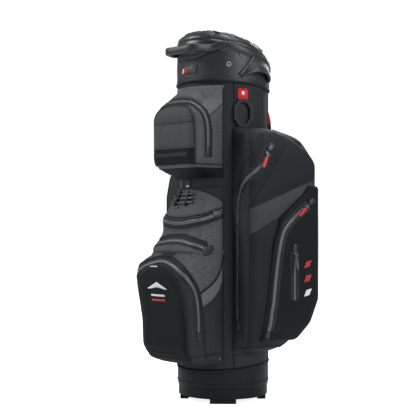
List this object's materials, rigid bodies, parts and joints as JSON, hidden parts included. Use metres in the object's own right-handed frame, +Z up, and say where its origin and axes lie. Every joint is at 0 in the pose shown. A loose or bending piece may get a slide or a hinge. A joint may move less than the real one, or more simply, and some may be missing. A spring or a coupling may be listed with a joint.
{
  "type": "golf bag",
  "caption": "Cart-style golf bag on a moulded base, with a divided top, lift handle, grey and black zip pockets, a towel ring and a shoulder strap",
  "frame": {"origin": "middle of the base at floor level, on its flat centre pad", "axes": "+Z up the bag, -Y towards the front pocket stack, +X towards the large side pocket"},
  "size_m": [0.3844, 0.3748, 0.8834],
  "materials": {
    "moulded": "semi-gloss moulded plastic",
    "rubber": "soft-touch rubber",
    "leather": "satin synthetic leather",
    "black_fabric": "matt ripstop",
    "grey_fabric": "coated ripstop, satin",
    "metal": "polished",
    "red_webbing": "woven",
    "liner": "brushed lining",
    "zip_tape": "coated water-resistant zip",
    "pull_rubber": "moulded cord pull"
  },
  "bodies": {
    "root": {"ball_zip": "zip_tape", "base_cuff": "leather", "base_tray": "moulded", "body_tube": "black_fabric", "collar": "leather", "collar_eyelet": "metal", "divider_centre_back": "liner", "divider_centre_front": "liner", "divider_centre_middle": "liner", "divider_cross_back": "liner", "divider_cross_front": "liner", "divider_left_back": "liner", "divider_left_front": "liner", "divider_left_middle": "liner", "divider_long_left": "liner", "divider_long_right": "liner", "divider_right_back": "liner", "divider_right_front": "liner", "divider_right_middle": "liner", "left_zip": "zip_tape", "lift_handle": "rubber", "lower_pocket": "black_fabric", "middle_pocket": "grey_fabric", "organiser_top": "moulded", "outer_zip": "zip_tape", "rim_band": "rubber", "side_handle": "leather", "side_pocket_left": "black_fabric", "side_pocket_right": "black_fabric", "side_pocket_right_outer": "black_fabric", "side_zip": "zip_tape", "small_zip": "zip_tape", "strap_anchor_bottom": "moulded", "strap_anchor_top": "moulded", "tee_holder": "black_fabric", "tier_zip": "zip_tape", "towel_tab": "red_webbing", "upper_pocket": "grey_fabric", "upper_zip": "zip_tape", "valuables_zip": "zip_tape"},
    "upper_zip_slider_body": {"upper_zip_slider": "metal"},
    "upper_zip_pull_body": {"upper_zip_pull": "pull_rubber"},
    "valuables_zip_slider_body": {"valuables_zip_slider": "metal"},
    "valuables_zip_pull_body": {"valuables_zip_pull": "pull_rubber"},
    "tier_zip_slider_body": {"tier_zip_slider": "metal"},
    "tier_zip_pull_body": {"tier_zip_pull": "pull_rubber"},
    "ball_zip_slider_body": {"ball_zip_slider": "metal"},
    "ball_zip_pull_body": {"ball_zip_pull": "pull_rubber"},
    "side_zip_slider_body": {"side_zip_slider": "metal"},
    "side_zip_pull_body": {"side_zip_pull": "red_webbing"},
    "outer_zip_slider_body": {"outer_zip_slider": "metal"},
    "outer_zip_pull_body": {"outer_zip_pull": "red_webbing"},
    "small_zip_slider_body": {"small_zip_slider": "metal"},
    "small_zip_pull_body": {"small_zip_pull": "pull_rubber"},
    "left_zip_slider_body": {"left_zip_slider": "metal"},
    "left_zip_pull_body": {"left_zip_pull": "pull_rubber"},
    "towel_ring_body": {"towel_ring": "moulded"},
    "strap_body": {"shoulder_strap": "black_fabric", "strap_hook_top": "metal", "strap_hook_bottom": "metal"}
  },
  "joints": [
    {"name": "upper_zip_slide", "type": "slide", "parent": "root", "child": "upper_zip_slider_body", "axis": [0, 0, 1], "range_m": [0, 0.074]},
    {"name": "upper_zip_pull_hinge", "type": "hinge", "parent": "upper_zip_slider_body", "child": "upper_zip_pull_body", "pos_m": [-0.08251, -0.12454, 0.586], "axis": [-0.0472, 0.9989, 0], "range_deg": [0, 150]},
    {"name": "valuables_zip_slide", "type": "slide", "parent": "root", "child": "valuables_zip_slider_body", "axis": [0.1707, -0.9348, -0.3115], "range_m": [0, 0.013]},
    {"name": "valuables_zip_pull_hinge", "type": "hinge", "parent": "valuables_zip_slider_body", "child": "valuables_zip_pull_body", "pos_m": [-0.07984, -0.10118, 0.44448], "axis": [0.2377, -0.2677, 0.9337], "range_deg": [0, 150]},
    {"name": "tier_zip_slide", "type": "slide", "parent": "root", "child": "tier_zip_slider_body", "axis": [-0.03, -0.9995, 0], "range_m": [0, 0.018]},
    {"name": "tier_zip_pull_hinge", "type": "hinge", "parent": "tier_zip_slider_body", "child": "tier_zip_pull_body", "pos_m": [-0.08566, -0.10595, 0.36631], "axis": [0.2051, -0.0062, 0.9787], "range_deg": [0, 150]},
    {"name": "ball_zip_slide", "type": "slide", "parent": "root", "child": "ball_zip_slider_body", "axis": [-0.0452, -0.1085, 0.9931], "range_m": [0, 0.043]},
    {"name": "ball_zip_pull_hinge", "type": "hinge", "parent": "ball_zip_slider_body", "child": "ball_zip_pull_body", "pos_m": [-0.08894, -0.16135, 0.2067], "axis": [0.0489, 0.9926, 0.1107], "range_deg": [0, 150]},
    {"name": "side_zip_slide", "type": "slide", "parent": "root", "child": "side_zip_slider_body", "axis": [-0.1464, -0.4393, -0.8863], "range_m": [0, 0.019]},
    {"name": "side_zip_pull_hinge", "type": "hinge", "parent": "side_zip_slider_body", "child": "side_zip_pull_body", "pos_m": [0.18038, -0.0351, 0.58106], "axis": [-0.2803, -0.8408, 0.4631], "range_deg": [0, 150]},
    {"name": "outer_zip_slide", "type": "slide", "parent": "root", "child": "outer_zip_slider_body", "axis": [-0.2483, -0.7448, -0.6193], "range_m": [0, 0.052]},
    {"name": "outer_zip_pull_hinge", "type": "hinge", "parent": "outer_zip_slider_body", "child": "outer_zip_pull_body", "pos_m": [0.22078, 0.05765, 0.46178], "axis": [-0.1959, -0.5876, 0.7851], "range_deg": [0, 150]},
    {"name": "small_zip_slide", "type": "slide", "parent": "root", "child": "small_zip_slider_body", "axis": [0, 0, -1], "range_m": [0, 0.094]},
    {"name": "small_zip_pull_hinge", "type": "hinge", "parent": "small_zip_slider_body", "child": "small_zip_pull_body", "pos_m": [0.21116, 0.02879, 0.35], "axis": [-0.3162, -0.9487, 0], "range_deg": [0, 150]},
    {"name": "left_zip_slide", "type": "slide", "parent": "root", "child": "left_zip_slider_body", "axis": [0, 0, -1], "range_m": [0, 0.243]},
    {"name": "left_zip_pull_hinge", "type": "hinge", "parent": "left_zip_slider_body", "child": "left_zip_pull_body", "pos_m": [-0.10621, -0.06704, 0.467], "axis": [-0.9964, -0.0846, 0], "range_deg": [0, 150]},
    {"name": "towel_ring_hinge", "type": "hinge", "parent": "root", "child": "towel_ring_body", "pos_m": [0.10562, -0.03844, 0.71488], "axis": [-0.342, -0.9397, 0], "range_deg": [0, 85]},
    {"name": "strap_swing", "type": "hinge", "parent": "root", "child": "strap_body", "pos_m": [0, 0.125, 0.52], "axis": [0, 0, 1], "range_deg": [-30, 30]}
  ]
}
